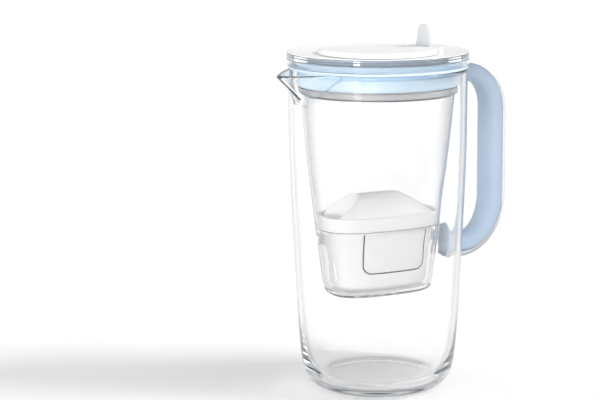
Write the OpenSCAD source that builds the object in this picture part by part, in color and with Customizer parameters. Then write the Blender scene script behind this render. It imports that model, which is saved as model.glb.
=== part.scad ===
// Water filter pitcher: glass jug with a bonded D-handle, a drop-in funnel that
// carries an oval filter cartridge, and a round lid with a hinged filling flap.
// Frame: origin at the middle of the flat base, +Z up, +X towards the handle,
// -X towards the pouring spout.

/* [Glass jug] */
// Height of the glass rim above the base
jug_h = 266.8; // [260:0.1:275]
// Outer radius of the neck
jug_r = 73.8; // [73.4:0.1:74]
// Glass wall thickness
wall = 3.4; // [2.8:0.1:3.6]
// Thickness of the glass floor
floor_t = 6; // [5:0.5:9]
// How far the spout tip lies from the jug's axis
spout_reach = 94.4; // [90:0.1:98]
// Half angle of the spout's root at the rim, in degrees
spout_half = 24; // [20:1:27]

/* [Handle] */
// Distance of the grip's centre line from the jug's axis
grip_x = 115; // [112:0.5:120]
// Half thickness of the grip, towards and away from the jug
grip_a = 9.3; // [8:0.1:10]
// Half width of the grip across the hand
grip_b = 13; // [11:0.1:14]
// Thickness of the clear outer strip
strip_t = 3.8; // [2.5:0.1:4.5]

/* [Funnel] */
// Outer radius of the funnel's neck
neck_r = 63.4; // [63:0.1:63.6]
// Wall thickness of the funnel
funnel_t = 2.2; // [1.8:0.1:2.3]
// Outer radius of the blue sealing collar
collar_r = 67; // [66:0.1:68]
// Turn of the funnel and cartridge about the jug's axis, in degrees
insert_turn = -6; // [-15:1:15]

/* [Cartridge] */
// Half length of the cartridge rim
rim_a = 50.7; // [50:0.1:51]
// Half width of the cartridge rim
rim_b = 30.1; // [29.5:0.1:30.4]
// Height of the dome above the rim
dome_h = 16; // [12:0.5:18]

/* [Lid] */
// Outer radius of the lid
lid_r = 75; // [74.6:0.1:76]
// Height of the lid's outer edge above the base
lid_z = 280.4; // [280:0.1:282]
// Radius of the filling hole
fill_r = 44; // [42:0.5:44.5]
// Radius of the flap
flap_r = 49.5; // [49:0.1:49.8]
// Thickness of the flap
flap_t = 4.1; // [3.9:0.1:4.4]
// Height of the thumb tab above the flap
tab_h = 18; // [14:0.5:20]

/* [Hidden] */

pad_t = 0.6;                         // bond line between handle and glass
dx = grip_x - 115;                   // shift of the grip from its nominal place
hinge_x = 44.5;                      // flap pivot, across the lid
flap_z0 = 278.3;                     // underside of the closed flap
hinge_z = flap_z0 + flap_t / 2;      // flap pivot height
pin_r = 1.0;
ear_y0 = 22.6;
ear_y1 = 26.8;
dz = lid_z - 280.4;
jz = jug_h - 266.8;

// ---------- shared shape functions ----------
function sgn(v) = v < 0 ? -1 : 1;
// Point of a superellipse of half axes a, b and exponent n at parameter t
function se(a, b, n, t) = [a * sgn(cos(t)) * pow(abs(cos(t)), 2 / n),
                           b * sgn(sin(t)) * pow(abs(sin(t)), 2 / n)];
// One ring of m points at height z
function se_ring(r, m) = [for (j = [0 : m - 1])
    let (p = se(r[0], r[1], r[2], 360 * (j + 0.5) / m)) [p[0], p[1], r[3]]];

// Closed solid through a list of rings that all have the same number of points
module rings_solid(rings) {
    m = len(rings[0]);
    k = len(rings);
    polyhedron(
        points = [for (r = rings) each r],
        faces = concat(
            [[for (j = [0 : m - 1]) j]],
            [for (i = [0 : k - 2]) for (j = [0 : m - 1])
                [i * m + j, (i + 1) * m + j, (i + 1) * m + (j + 1) % m]],
            [for (i = [0 : k - 2]) for (j = [0 : m - 1])
                [i * m + j, (i + 1) * m + (j + 1) % m, i * m + (j + 1) % m]],
            [[for (j = [m - 1 : -1 : 0]) (k - 1) * m + j]]),
        convexity = 8);
}
// Loft through [half length, half width, exponent, height] stations
module loft(stations, m = 56) {
    rings_solid([for (s = stations) se_ring(s, m)]);
}

// ---------- jug ----------
// Outer profile of the glass as [radius, height]
jug_out = [[0, 0], [50, 0], [54.5, 1.4], [58.5, 5], [61.8, 12], [64.3, 24], [66.1, 41],
           [67.4, 60], [68.1, 70], [69.1, 96], [70, 113], [71.1, 136], [72.2, 160],
           [73.2, 190], [jug_r, 215], [jug_r, jug_h - 2], [jug_r - 0.6, jug_h - 0.4],
           [jug_r - wall / 2, jug_h], [jug_r - wall + 0.6, jug_h - 0.4],
           [jug_r - wall, jug_h - 2]];
jug_in = [[0, floor_t], [45, floor_t], [51, floor_t + 2], [56.2, floor_t + 7],
          [60, 24], [62.6, 41], [jug_r - wall - 6.4, 60], [jug_r - wall - 4.7, 96],
          [jug_r - wall - 3.8, 113], [jug_r - wall - 1.6, 160], [jug_r - wall - 0.6, 190],
          [jug_r - wall, 215], [jug_r - wall, jug_h + 5], [0, jug_h + 5]];
// Glass radius in the stretch that carries the handle's foot
foot_strip = [[69.1, 96], [70, 113], [71.1, 136]];

module spout_outer() {
    hull() {
        translate([-spout_reach + 4, 0, jug_h - 7]) cylinder(r = 4, h = 5.4, $fn = 32);
        for (s = [-1, 1])
            translate([-70.5 * cos(spout_half), s * 70.5 * sin(spout_half), jug_h - 11])
                cylinder(r = 2.5, h = 10.6, $fn = 32);
        translate([-69, 0, jug_h - 29]) cylinder(r = 2.5, h = 10, $fn = 32);
    }
}
module spout_inner() {
    hull() {
        translate([-spout_reach + 4.2, 0, jug_h - 4.4]) cylinder(r = 1.3, h = 14, $fn = 32);
        for (s = [-1, 1])
            translate([-67.5 * cos(spout_half), s * 67.5 * sin(spout_half), jug_h - 8.5])
                cylinder(r = 1.3, h = 18, $fn = 32);
        translate([-67, 0, jug_h - 24]) cylinder(r = 1.3, h = 12, $fn = 32);
    }
}
module glass_jug() {
    color([0.86, 0.91, 0.93, 0.35])
    difference() {
        union() {
            rotate_extrude($fn = 96)
                polygon(concat(jug_out, [[0, jug_h - 2]]));
            spout_outer();
        }
        rotate_extrude($fn = 96) polygon(jug_in);
        spout_inner();
    }
}

// ---------- handle ----------
// Stations of the handle's centre line in the XZ plane:
// [x, z, outward normal x, outward normal z, half thickness, half width]
function unit2(v) = v / sqrt(v[0] * v[0] + v[1] * v[1]);
function arm(x, z, nx, nz, a, b) = let (u = unit2([nx, nz])) [x, z, u[0], u[1], a, b];
up_sx = 26 + dx;
up_sz = 32.5;
lo_sx = 31 + dx;
lo_sz = 39.5;
handle_path = concat(
    [arm(66, 257.5, 0, 1, 7.9, 10.6), arm(80, 257.5, 0, 1, 7.75, 10.6)],
    [for (t = [0 : 11.25 : 90])
        let (f = t / 90)
        arm(89 + up_sx * sin(t), 225 + up_sz * cos(t), sin(t) / up_sx, cos(t) / up_sz,
            7.75 + (grip_a - 7.75) * f, 10.8 + (grip_b - 10.8) * f)],
    [for (z = [207, 189, 170]) arm(grip_x, z, 1, 0, grip_a, grip_b)],
    [for (t = [0 : 11.25 : 90])
        let (f = t / 90)
        arm(84 + lo_sx * cos(t), 150 - lo_sz * sin(t), cos(t) / lo_sx, -sin(t) / lo_sz,
            grip_a + (8.5 - grip_a) * f, grip_b + (10.2 - grip_b) * f)],
    [arm(79, 111.2, 0, -1, 9.6, 9.8), arm(75.5, 112.6, 0, -1, 12, 9.6),
     arm(73, 114, 0, -1, 14.6, 9.5), arm(64, 114.3, 0, -1, 15, 9.4)]);
strip_from = 6;                      // first station that carries the clear strip
strip_to = len(handle_path) - 3;
hm = 32;
function handle_ring(s) = [for (j = [0 : hm - 1])
    let (p = se(s[4], s[5], 2.25, 360 * (j + 0.5) / hm))
    [s[0] + p[0] * s[2], p[1], s[1] + p[0] * s[3]]];
// Crescent ring of the strip: outer half of the section, pushed outwards
function strip_ring(s, w) = let (h = hm / 2)
    concat(
        [for (j = [0 : h])
            let (t = -90 + 180 * j / h,
                 p = se(s[4] + 0.4 + w * pow(abs(cos(t)), 0.9), s[5] + 0.45, 2.25, t))
            [s[0] + p[0] * s[2], p[1], s[1] + p[0] * s[3]]],
        [for (j = [h - 1 : -1 : 1])
            let (t = -90 + 180 * j / h,
                 p = se(s[4] + 0.15, s[5] + 0.15, 2.25, t))
            [s[0] + p[0] * s[2], p[1], s[1] + p[0] * s[3]]]);

module handle_core() {
    color([0.70, 0.79, 0.88])
    difference() {
        rings_solid([for (s = handle_path) handle_ring(s)]);
        // end faces follow the glass, one bond line away
        translate([0, 0, 200]) cylinder(r = jug_r + pad_t, h = 90, $fn = 96);
        rotate_extrude($fn = 96)
            polygon([[0, 80], [68.5 + pad_t, 80],
                     [foot_strip[0][0] + pad_t, 96], [foot_strip[1][0] + pad_t, 113],
                     [foot_strip[2][0] + pad_t, 136], [71.2, 140], [0, 140]]);
    }
}
module handle_strip() {
    n = strip_to - strip_from;
    color([0.90, 0.94, 0.97, 0.45])
    rings_solid([for (i = [0 : n])
        strip_ring(handle_path[strip_from + i], i == 0 ? 0.3 : i == 1 ? strip_t * 0.5
            : i > n - 3 ? strip_t * 0.75 : strip_t)]);
}
module upper_bond_pad() {
    color([0.93, 0.95, 0.96, 0.6])
    intersection() {
        difference() {
            translate([0, 0, 240]) cylinder(r = jug_r + pad_t, h = 40, $fn = 96);
            translate([0, 0, 239]) cylinder(r = jug_r, h = 42, $fn = 96);
        }
        translate([60, 0, 257.5]) rotate([0, 90, 0])
            linear_extrude(20) square([13.2, 17], center = true);
    }
}
module lower_bond_pad() {
    color([0.93, 0.95, 0.96, 0.6])
    intersection() {
        rotate_extrude($fn = 96)
            polygon([foot_strip[0], foot_strip[0] + [pad_t, 0], foot_strip[1] + [pad_t, 0],
                     foot_strip[2] + [pad_t, 0], foot_strip[2], foot_strip[1]]);
        translate([60, 0, 114.2]) rotate([0, 90, 0])
            linear_extrude(20) square([26, 14.6], center = true);
    }
}

// ---------- funnel and its collar ----------
// Outer shape of the bowl: [half length, half width, exponent, height]
bowl = [[38.5, 21, 3.1, 79.6], [43, 25.4, 3.0, 80.4], [45.6, 27.6, 2.9, 83.5], [47.2, 28.9, 2.8, 92],
        [48.9, 30, 2.75, 104.5], [51.4, 31.8, 2.7, 122], [53.7, 33.6, 2.65, 140],
        [55.6, 37.2, 2.5, 158], [57.8, 42.6, 2.35, 176], [60.1, 49.4, 2.2, 198],
        [61.9, 56.2, 2.08, 219], [62.9, 61, 2.02, 236], [63.0, 63.0, 2.0, 245],
        [63.0, 63.0, 2.0, 250]];
// The inside follows it one wall in, with a ledge that carries the cartridge rim
function inward(s, t, z) = [s[0] - t, s[1] - t, s[2], z];
bowl_in = concat(
    [[61.5, 61.5, 2.0, 250]],
    [for (i = [12 : -1 : 7]) inward(bowl[i], i > 10 ? 1.5 : funnel_t, bowl[i][3])],
    [inward(bowl[6], funnel_t, 140), inward(bowl[6], funnel_t + 0.5, 135.2),
     inward(bowl[6], funnel_t + 3.3, 135.1), inward(bowl[6], funnel_t + 3.5, 131),
     inward(bowl[5], funnel_t, 122), inward(bowl[4], funnel_t, 104.5),
     inward(bowl[3], funnel_t, 92), inward(bowl[2], funnel_t, 85.2), inward(bowl[1], funnel_t, 82.8)]);

module funnel() {
    color([0.90, 0.93, 0.95, 0.35])
    rotate([0, 0, insert_turn])
    difference() {
        union() {
            loft(concat(bowl, bowl_in), 64);
            // neck, shoulder and hanging flange
            rotate_extrude($fn = 96)
                polygon([[61.2, 243], [neck_r, 243], [65.4, 244.2], [65.8, 245.4],
                         [65.8, 252.4], [65.2, 253], [neck_r, 253], [neck_r, 267.1 + jz],
                         [73.9, 267.1 + jz], [74.2, 267.5 + jz], [74.2, 268.7 + jz], [73.9, 269.1 + jz],
                         [neck_r, 269.1 + jz], [neck_r, 273.4 + jz], [neck_r - 0.5, 273.9 + jz],
                         [61.7, 273.9 + jz], [61.2, 273.4 + jz]]);
        }
        // filtered water runs out through five round outlets
        for (x = [-20, -10, 0, 10, 20])
            translate([x, 0, 70]) cylinder(r = 2.6, h = 20, $fn = 32);
    }
}
module lower_seal_collar() {
    color([0.74, 0.84, 0.94])
    rotate_extrude($fn = 96)
        polygon([[neck_r + 0.1, 253.2], [collar_r - 0.9, 253.2], [collar_r - 0.3, 253.8],
                 [collar_r, 256], [collar_r, 260.4], [collar_r - 0.5, 262.8],
                 [collar_r - 1.5, 263.7], [collar_r - 1.5, 264.1], [collar_r - 0.5, 264.6],
                 [collar_r, 265.6 + jz], [collar_r, 266.4 + jz], [collar_r - 0.4, 266.9 + jz],
                 [neck_r + 0.1, 266.9 + jz]]);
}
module upper_seal_collar() {
    color([0.78, 0.87, 0.95])
    rotate_extrude($fn = 96)
        polygon([[neck_r + 0.1, 269.2 + jz], [collar_r - 0.4, 269.2 + jz], [collar_r, 269.6 + jz],
                 [collar_r, 272.6 + jz], [collar_r - 0.4, 273.6 + jz], [collar_r - 1.2, 274.1 + jz],
                 [neck_r + 0.1, 274.1 + jz]]);
}

// ---------- cartridge ----------
cup_out = [[35, 19, 2.7, 86], [38.6, 22.3, 2.7, 87.2], [40.6, 24.2, 2.7, 90.5],
           [41.9, 25.3, 2.7, 98], [45.2, 27.5, 2.7, 134.4], [45.3, 27.6, 2.7, 135.5],
           [rim_a - 0.3, rim_b - 0.3, 2.7, 135.5], [rim_a, rim_b, 2.7, 136.3],
           [rim_a, rim_b, 2.7, 146.2], [rim_a - 0.5, rim_b - 0.5, 2.7, 147],
           [rim_a - 1.3, rim_b - 1.3, 2.7, 147]];
cup_in = [[rim_a - 1.8, rim_b - 1.8, 2.7, 146.4], [rim_a - 1.9, rim_b - 1.9, 2.7, 142.4],
          [44, 26.2, 2.7, 142.4], [43.7, 26, 2.7, 134], [40.5, 23.9, 2.7, 98],
          [39.1, 22.8, 2.7, 91], [37.4, 21.2, 2.7, 88.4]];

module u_outline() {
    // rounded panel outline, open at the top
    difference() {
        hull() {
            for (s = [-1, 1]) translate([s * 21.5, 108.6]) circle(r = 7.5, $fn = 32);
            for (s = [-1, 1]) translate([s * 28.5, 132]) square([1, 1], center = true);
        }
        hull() {
            for (s = [-1, 1]) translate([s * 21.5, 108.6]) circle(r = 6.5, $fn = 32);
            for (s = [-1, 1]) translate([s * 27.5, 134]) square([1, 1], center = true);
        }
    }
}
module cartridge_cup() {
    color([0.95, 0.95, 0.96])
    rotate([0, 0, insert_turn])
    difference() {
        loft(concat(cup_out, cup_in), 56);
        // shallow U-shaped panel groove on both broad faces
        for (s = [0, 180]) rotate([0, 0, s])
            difference() {
                translate([0, -16, 0]) rotate([90, 0, 0]) linear_extrude(20) u_outline();
                loft([[40.9, 24.3, 2.7, 90], [41.2, 24.6, 2.7, 98], [44.5, 26.8, 2.7, 134.4]], 56);
            }
        // outlets in the floor and slots low in both ends
        for (x = [-20, -10, 0, 10, 20]) translate([x, 0, 80]) cylinder(r = 2, h = 12, $fn = 32);
        for (s = [-1, 1]) for (y = [-6, 6])
            translate([s * 41.5, y, 101]) cube([8, 1.4, 18], center = true);
    }
}
// Dome of the cap, grown or shrunk by g
function dome(g) = [for (s = [[47, 27, 142.5], [46.2, 26.6, 146], [44.6, 25.7, 149], [41.4, 24.2, 153],
                              [36.6, 21.6, 157], [31.4, 17.6, 160], [25.5, 12.6, 162],
                              [18, 7.2, 163]])
    [s[0] + g, s[1] + g, 2.6, 142.5 + (s[2] - 142.5) * (dome_h + 4.5) / 20.5 + g]];
module scoop(g) {
    // hollow cut into each end of the dome
    for (s = [0, 180]) rotate([0, 0, s])
        translate([47.5, 0, 145.2 - g]) rotate([0, -14, 0])
            translate([0, 0, -4]) cylinder(r = 16 + g, h = 34, $fn = 64);
}
module cartridge_cap() {
    color([0.96, 0.96, 0.97])
    rotate([0, 0, insert_turn])
    difference() {
        union() {
            difference() {
                loft(dome(0), 56);
                scoop(0);
                difference() { translate([0, 0, -1.5]) loft(dome(-1.5), 56); scoop(1.5); }
            }
            loft([[rim_a - 2.1, rim_b - 2.1, 2.7, 142.5], [rim_a - 2.1, rim_b - 2.1, 2.7, 144.1]], 56);
        }
        // the plate is open under the dome and slotted under the scoops
        loft([[27, 17, 2.4, 130], [27, 17, 2.4, 145.6]], 56);
        for (s = [-1, 1]) for (i = [0 : 3])
            translate([s * 40.4, -6.9 + i * 4.6, 143]) cube([7, 1.7, 8], center = true);
    }
}
module inlet_screen() {
    color([0.82, 0.84, 0.86])
    rotate([0, 0, insert_turn])
    loft([[43, 25.3, 2.7, 140.4], [43, 25.3, 2.7, 141.2]], 48);
}
module filter_media() {
    color([0.24, 0.24, 0.25])
    rotate([0, 0, insert_turn])
    loft([[36.9, 20.8, 2.7, 90.2], [40, 23.4, 2.7, 98.4], [42.9, 25.3, 2.7, 133], [43.2, 25.5, 2.7, 139.8]], 48);
}
module outlet_screen() {
    color([0.88, 0.89, 0.90])
    rotate([0, 0, insert_turn])
    loft([[36.8, 20.6, 2.7, 88.8], [36.8, 20.6, 2.7, 89.7]], 48);
}

// ---------- lid, flap and hinge ----------
module lid_top() {
    color([0.97, 0.97, 0.98])
    difference() {
        union() {
            rotate_extrude($fn = 96)
                polygon([[fill_r, 276.4 + dz], [71.6, 276.4 + dz], [71.6, 279.6 + dz], [lid_r - 0.5, 279.8 + dz],
                         [lid_r, 280.0 + dz], [lid_r - 0.2, 280.3 + dz], [lid_r - 0.8, lid_z],
                         [66, 279.2 + dz], [58, 278.4 + dz], [51.5, 278.0 + dz], [fill_r + 0.4, 277.9 + dz],
                         [fill_r, 277.5 + dz]]);
            // locating ring that drops into the funnel's neck
            rotate_extrude($fn = 96)
                polygon([[58.4, 270.4 + dz], [60.2, 270.4 + dz], [60.7, 271 + dz], [60.7, 277 + dz],
                         [58.4, 277 + dz]]);
            // ears that hold the hinge pin
            for (s = [-1, 1])
                translate([hinge_x, s * (ear_y0 + ear_y1) / 2, hinge_z + dz]) {
                    rotate([90, 0, 0]) cylinder(r = 2.3, h = ear_y1 - ear_y0, center = true, $fn = 48);
                    translate([0, 0, -1.6]) cube([4.6, ear_y1 - ear_y0, 3.2], center = true);
                }
        }
        // room for the tail of the flap as it swings down
        intersection() {
            translate([0, 0, 270 + dz]) cylinder(r = flap_r + 0.9, h = 20, $fn = 96);
            translate([30, -22.3, 270 + dz]) cube([30, 44.6, 20]);
        }
        translate([hinge_x, 0, hinge_z + dz]) rotate([90, 0, 0])
            cylinder(r = pin_r, h = 80, center = true, $fn = 48);
    }
}
module lid_clear_ring() {
    color([0.90, 0.93, 0.95, 0.35])
    rotate_extrude($fn = 96)
        polygon([[71.8, 269.6 + dz], [74.5, 269.6 + dz], [lid_r, 270.1 + dz], [lid_r, 272.2 + dz],
                 [lid_r - 0.5, 272.6 + dz], [lid_r - 0.5, 273 + dz], [lid_r, 273.4 + dz],
                 [lid_r, 275.6 + dz], [lid_r - 0.5, 276 + dz], [lid_r - 0.5, 276.4 + dz],
                 [lid_r, 276.8 + dz], [lid_r, 279.2 + dz], [lid_r - 0.5, 279.65 + dz],
                 [71.8, 279.45 + dz]]);
}
module filling_flap() {
    color([0.98, 0.98, 0.99])
    translate([0, 0, dz])
    difference() {
        rotate_extrude($fn = 96)
            polygon([[0, flap_z0], [flap_r - 0.8, flap_z0], [flap_r - 0.1, flap_z0 + 0.6],
                     [flap_r, flap_z0 + 1.6], [flap_r - 0.3, flap_z0 + 2.7],
                     [flap_r - 1, flap_z0 + flap_t - 0.6], [flap_r - 2.2, flap_z0 + flap_t],
                     [flap_r - 4, flap_z0 + flap_t - 0.1], [30, flap_z0 + flap_t - 0.8],
                     [0, flap_z0 + flap_t - 1.1]]);
        // notches beside the hinge ears
        for (s = [-1, 1])
            translate([hinge_x, s * 32.3, 280]) cube([5.8, 20, 20], center = true);
        translate([hinge_x, 0, hinge_z]) rotate([90, 0, 0])
            cylinder(r = pin_r + 0.05, h = 60, center = true, $fn = 48);
        // slot that takes the foot of the thumb tab
        translate([45.4, 0, flap_z0 + flap_t]) cube([2.2, 17, 0.9], center = true);
    }
}
module thumb_tab() {
    w0 = 10.6;
    w1 = 8.2;
    z0 = flap_z0 + flap_t + 0.02;
    color([0.86, 0.87, 0.88])
    translate([0, 0, dz])
    union() {
        intersection() {
            // ribbed plate, ribs running up and down
            translate([45.4, 0, z0 - 1]) linear_extrude(40)
                union() {
                    square([2.4, 30], center = true);
                    for (i = [-4 : 4]) translate([0, i * 2.25])
                        square([3.3, 1.15], center = true);
                }
            // front outline: tapered with a round top
            translate([55, 0, 0]) rotate([90, 0, -90]) linear_extrude(20)
                polygon(concat([[-w0, z0], [w0, z0]],
                    [for (t = [0 : 10 : 180])
                        [se(w1, tab_h * 0.42, 2.5, t)[0], z0 + tab_h * 0.58 + se(w1, tab_h * 0.42, 2.5, t)[1]]]));
        }
        translate([45.4, 0, z0 - 0.2]) cube([1.8, 16.4, 0.5], center = true);
    }
}
module hinge_pin() {
    color([0.75, 0.76, 0.78])
    translate([hinge_x, 0, hinge_z + dz]) rotate([90, 0, 0])
        cylinder(r = pin_r, h = 2 * ear_y1 - 0.6, center = true, $fn = 48);
}

glass_jug();
handle_core();
handle_strip();
upper_bond_pad();
lower_bond_pad();
funnel();
lower_seal_collar();
upper_seal_collar();
cartridge_cup();
cartridge_cap();
inlet_screen();
filter_media();
outlet_screen();
lid_top();
lid_clear_ring();
filling_flap();
thumb_tab();
hinge_pin();
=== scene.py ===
import bpy, bmesh, math
import numpy as np
from mathutils import Vector, Matrix


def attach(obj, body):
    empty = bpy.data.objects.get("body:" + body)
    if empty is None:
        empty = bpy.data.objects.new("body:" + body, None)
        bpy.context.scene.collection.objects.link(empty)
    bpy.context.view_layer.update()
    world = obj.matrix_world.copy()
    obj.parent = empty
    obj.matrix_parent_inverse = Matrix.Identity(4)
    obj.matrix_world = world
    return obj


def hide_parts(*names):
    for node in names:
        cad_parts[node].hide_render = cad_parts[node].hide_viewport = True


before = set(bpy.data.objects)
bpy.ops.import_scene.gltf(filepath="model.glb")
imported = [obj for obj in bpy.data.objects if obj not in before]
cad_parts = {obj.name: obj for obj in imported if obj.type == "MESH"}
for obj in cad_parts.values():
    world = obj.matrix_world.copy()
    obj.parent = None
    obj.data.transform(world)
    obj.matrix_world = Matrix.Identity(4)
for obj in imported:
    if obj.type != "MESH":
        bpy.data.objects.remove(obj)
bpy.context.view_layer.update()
scene = bpy.context.scene
MM = 0.001
PHI = math.radians(32.5)          # the jug's turn in front of the camera
TURN = math.radians(-6.0)         # the funnel's turn in the jug

# ---------------------------------------------------------------- camera
cam_data = bpy.data.cameras.new("camera")
cam = bpy.data.objects.new("camera", cam_data)
scene.collection.objects.link(cam)
cam.location = (-1.408 * math.sin(PHI), -1.408 * math.cos(PHI), 0.4215)
cam.rotation_euler = (math.radians(90 - 10.69), 0, -PHI)
cam_data.sensor_width = 36
cam_data.lens = 103.24
cam_data.shift_x = -0.1297
cam_data.clip_end = 100
scene.camera = cam


def world_dir(az, el):
    """Unit vector at azimuth az to the right of the way to the camera, and elevation el, in degrees."""
    a, e = math.radians(az), math.radians(el)
    wx, wy = math.sin(a) * math.cos(e), -math.cos(a) * math.cos(e)
    return Vector((wx * math.cos(PHI) + wy * math.sin(PHI),
                   -wx * math.sin(PHI) + wy * math.cos(PHI), math.sin(e)))


# ---------------------------------------------------------------- mesh helpers
def make(name, verts, faces, mat, angle=40):
    me = bpy.data.meshes.new(name)
    me.from_pydata([tuple(v) for v in (np.asarray(verts, float) * MM)], [], [list(f) for f in faces])
    bm = bmesh.new()
    bm.from_mesh(me)
    bmesh.ops.remove_doubles(bm, verts=bm.verts, dist=1e-7)
    bmesh.ops.recalc_face_normals(bm, faces=bm.faces)
    bm.to_mesh(me)
    bm.free()
    me.shade_smooth()
    if angle:
        me.set_sharp_from_angle(angle=math.radians(angle))
    ob = bpy.data.objects.new(name, me)
    scene.collection.objects.link(ob)
    if mat:
        me.materials.append(mat)
    return ob


def skin(rings, wrap_k=False, pole0=None, pole1=None, wrap_m=True):
    """Vertices and faces of the surface through rings[k][m]."""
    P = np.asarray(rings, float)
    K, M = P.shape[:2]
    V = list(P.reshape(-1, 3))
    F = []
    for k in range(K if wrap_k else K - 1):
        k2 = (k + 1) % K
        for m in range(M if wrap_m else M - 1):
            m2 = (m + 1) % M
            F.append((k * M + m, k * M + m2, k2 * M + m2, k2 * M + m))
    for pole, k in ((pole0, 0), (pole1, K - 1)):
        if pole is not None:
            V.append(np.asarray(pole, float))
            c = len(V) - 1
            for m in range(M):
                F.append((k * M + m, k * M + (m + 1) % M, c))
    return V, F


def fillet(pts, seg=5, closed=True):
    """Points (u, v, radius) to a polyline with round corners."""
    out = []
    n = len(pts)
    for i, p in enumerate(pts):
        u, v = p[0], p[1]
        r = p[2] if len(p) > 2 else 0
        if r <= 0 or (not closed and i in (0, n - 1)):
            out.append((u, v))
            continue
        a, b = np.array(pts[i - 1][:2], float), np.array(pts[(i + 1) % n][:2], float)
        c = np.array((u, v), float)
        da, db = a - c, b - c
        la, lb = np.linalg.norm(da), np.linalg.norm(db)
        da, db = da / la, db / lb
        ang = math.acos(max(-1, min(1, float(da @ db))))
        if ang > math.pi - 1e-3:
            out.append((u, v))
            continue
        t = min(r / math.tan(ang / 2), la * 0.49, lb * 0.49)
        r = t * math.tan(ang / 2)
        mid = (da + db) / np.linalg.norm(da + db)
        o = c + mid * (r / math.sin(ang / 2))
        s, e = c + da * t - o, c + db * t - o
        a0, a1 = math.atan2(s[1], s[0]), math.atan2(e[1], e[0])
        d = (a1 - a0 + math.pi) % (2 * math.pi) - math.pi
        for j in range(seg + 1):
            q = a0 + d * j / seg
            out.append((o[0] + r * math.cos(q), o[1] + r * math.sin(q)))
    return out


def densify(pts, step, closed=True):
    """Adds points along long straight runs."""
    out = []
    n = len(pts)
    for i in range(n if closed else n - 1):
        a, b = np.array(pts[i], float), np.array(pts[(i + 1) % n], float)
        k = max(1, int(math.ceil(np.linalg.norm(b - a) / step)))
        for j in range(k):
            out.append(tuple(a + (b - a) * j / k))
    if not closed:
        out.append(tuple(pts[-1]))
    return out


def pchip(xs, ys, q):
    """Monotone cubic through (xs, ys), for several columns of ys."""
    xs, ys, q = np.asarray(xs, float), np.asarray(ys, float), np.asarray(q, float)
    one = ys.ndim == 1
    if one:
        ys = ys[:, None]
    h = np.diff(xs)[:, None]
    d = np.diff(ys, axis=0) / h
    m = np.zeros_like(ys)
    for i in range(1, len(xs) - 1):
        w1, w2 = 2 * h[i] + h[i - 1], h[i] + 2 * h[i - 1]
        ok = d[i - 1] * d[i] > 0
        m[i] = np.where(ok, (w1 + w2) / (w1 / np.where(ok, d[i - 1], 1) + w2 / np.where(ok, d[i], 1)), 0)
    m[0], m[-1] = d[0], d[-1]
    i = np.clip(np.searchsorted(xs, q, side="right") - 1, 0, len(xs) - 2)
    t = ((q - xs[i]) / (xs[i + 1] - xs[i]))[:, None]
    hh = (xs[i + 1] - xs[i])[:, None]
    r = ((2 * t**3 - 3 * t**2 + 1) * ys[i] + (t**3 - 2 * t**2 + t) * hh * m[i]
         + (-2 * t**3 + 3 * t**2) * ys[i + 1] + (t**3 - t**2) * hh * m[i + 1])
    return r[:, 0] if one else r


def catmull(pts, per):
    """Smooth curve through points of any width."""
    P = np.asarray(pts, float)
    P = np.vstack([2 * P[0] - P[1], P, 2 * P[-1] - P[-2]])
    out = []
    for i in range(1, len(P) - 2):
        for j in range(per):
            t = j / per
            out.append(0.5 * ((2 * P[i]) + (-P[i - 1] + P[i + 1]) * t
                              + (2 * P[i - 1] - 5 * P[i] + 4 * P[i + 1] - P[i + 2]) * t**2
                              + (-P[i - 1] + 3 * P[i] - 3 * P[i + 1] + P[i + 2]) * t**3))
    out.append(P[-2])
    return np.array(out)


def revolve(name, profile, mat, segs=256, angle=40):
    """Closed profile [(r, z)] turned about Z. A profile that starts and ends on the axis gets poles."""
    th = np.linspace(0, 2 * math.pi, segs, endpoint=False)
    pts = [p for p in profile]
    pole0 = pole1 = None
    closed = True
    if pts[0][0] < 1e-6:
        pole0 = (0, 0, pts[0][1])
        pole1 = (0, 0, pts[-1][1])
        pts = pts[1:-1]
        closed = False
    rings = [[(r * math.cos(t), r * math.sin(t), z) for t in th] for r, z in pts]
    V, F = skin(rings, wrap_k=closed, pole0=pole0, pole1=pole1)
    return make(name, V, F, mat, angle)


def sel(a, b, n, t):
    """Superellipse points at parameters t."""
    c, s = np.cos(t), np.sin(t)
    return a * np.sign(c) * np.abs(c) ** (2 / n), b * np.sign(s) * np.abs(s) ** (2 / n)


def oval_t(a, b, n, M):
    """Parameters that space points evenly along the oval."""
    t = np.linspace(0, 2 * math.pi, 8001)
    x, y = sel(a, b, n, t)
    s = np.concatenate([[0], np.cumsum(np.hypot(np.diff(x), np.diff(y)))])
    return np.interp(np.linspace(0, s[-1], M, endpoint=False), s, t)


def turned(P):
    """Turns points of the insert into the jug's frame."""
    P = np.asarray(P, float).copy()
    x, y = P[..., 0].copy(), P[..., 1].copy()
    P[..., 0] = x * math.cos(TURN) - y * math.sin(TURN)
    P[..., 1] = x * math.sin(TURN) + y * math.cos(TURN)
    return P


def box_obj(lo, hi, turn=0.0, name="cutter"):
    x0, y0, z0 = lo
    x1, y1, z1 = hi
    V = np.array([(x, y, z) for z in (z0, z1) for y in (y0, y1) for x in (x0, x1)], float)
    c, s = math.cos(turn), math.sin(turn)
    V = np.column_stack([V[:, 0] * c - V[:, 1] * s, V[:, 0] * s + V[:, 1] * c, V[:, 2]])
    F = [(0, 1, 3, 2), (4, 6, 7, 5), (0, 4, 5, 1), (2, 3, 7, 6), (0, 2, 6, 4), (1, 5, 7, 3)]
    return make(name, V, F, None, 0)


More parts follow.
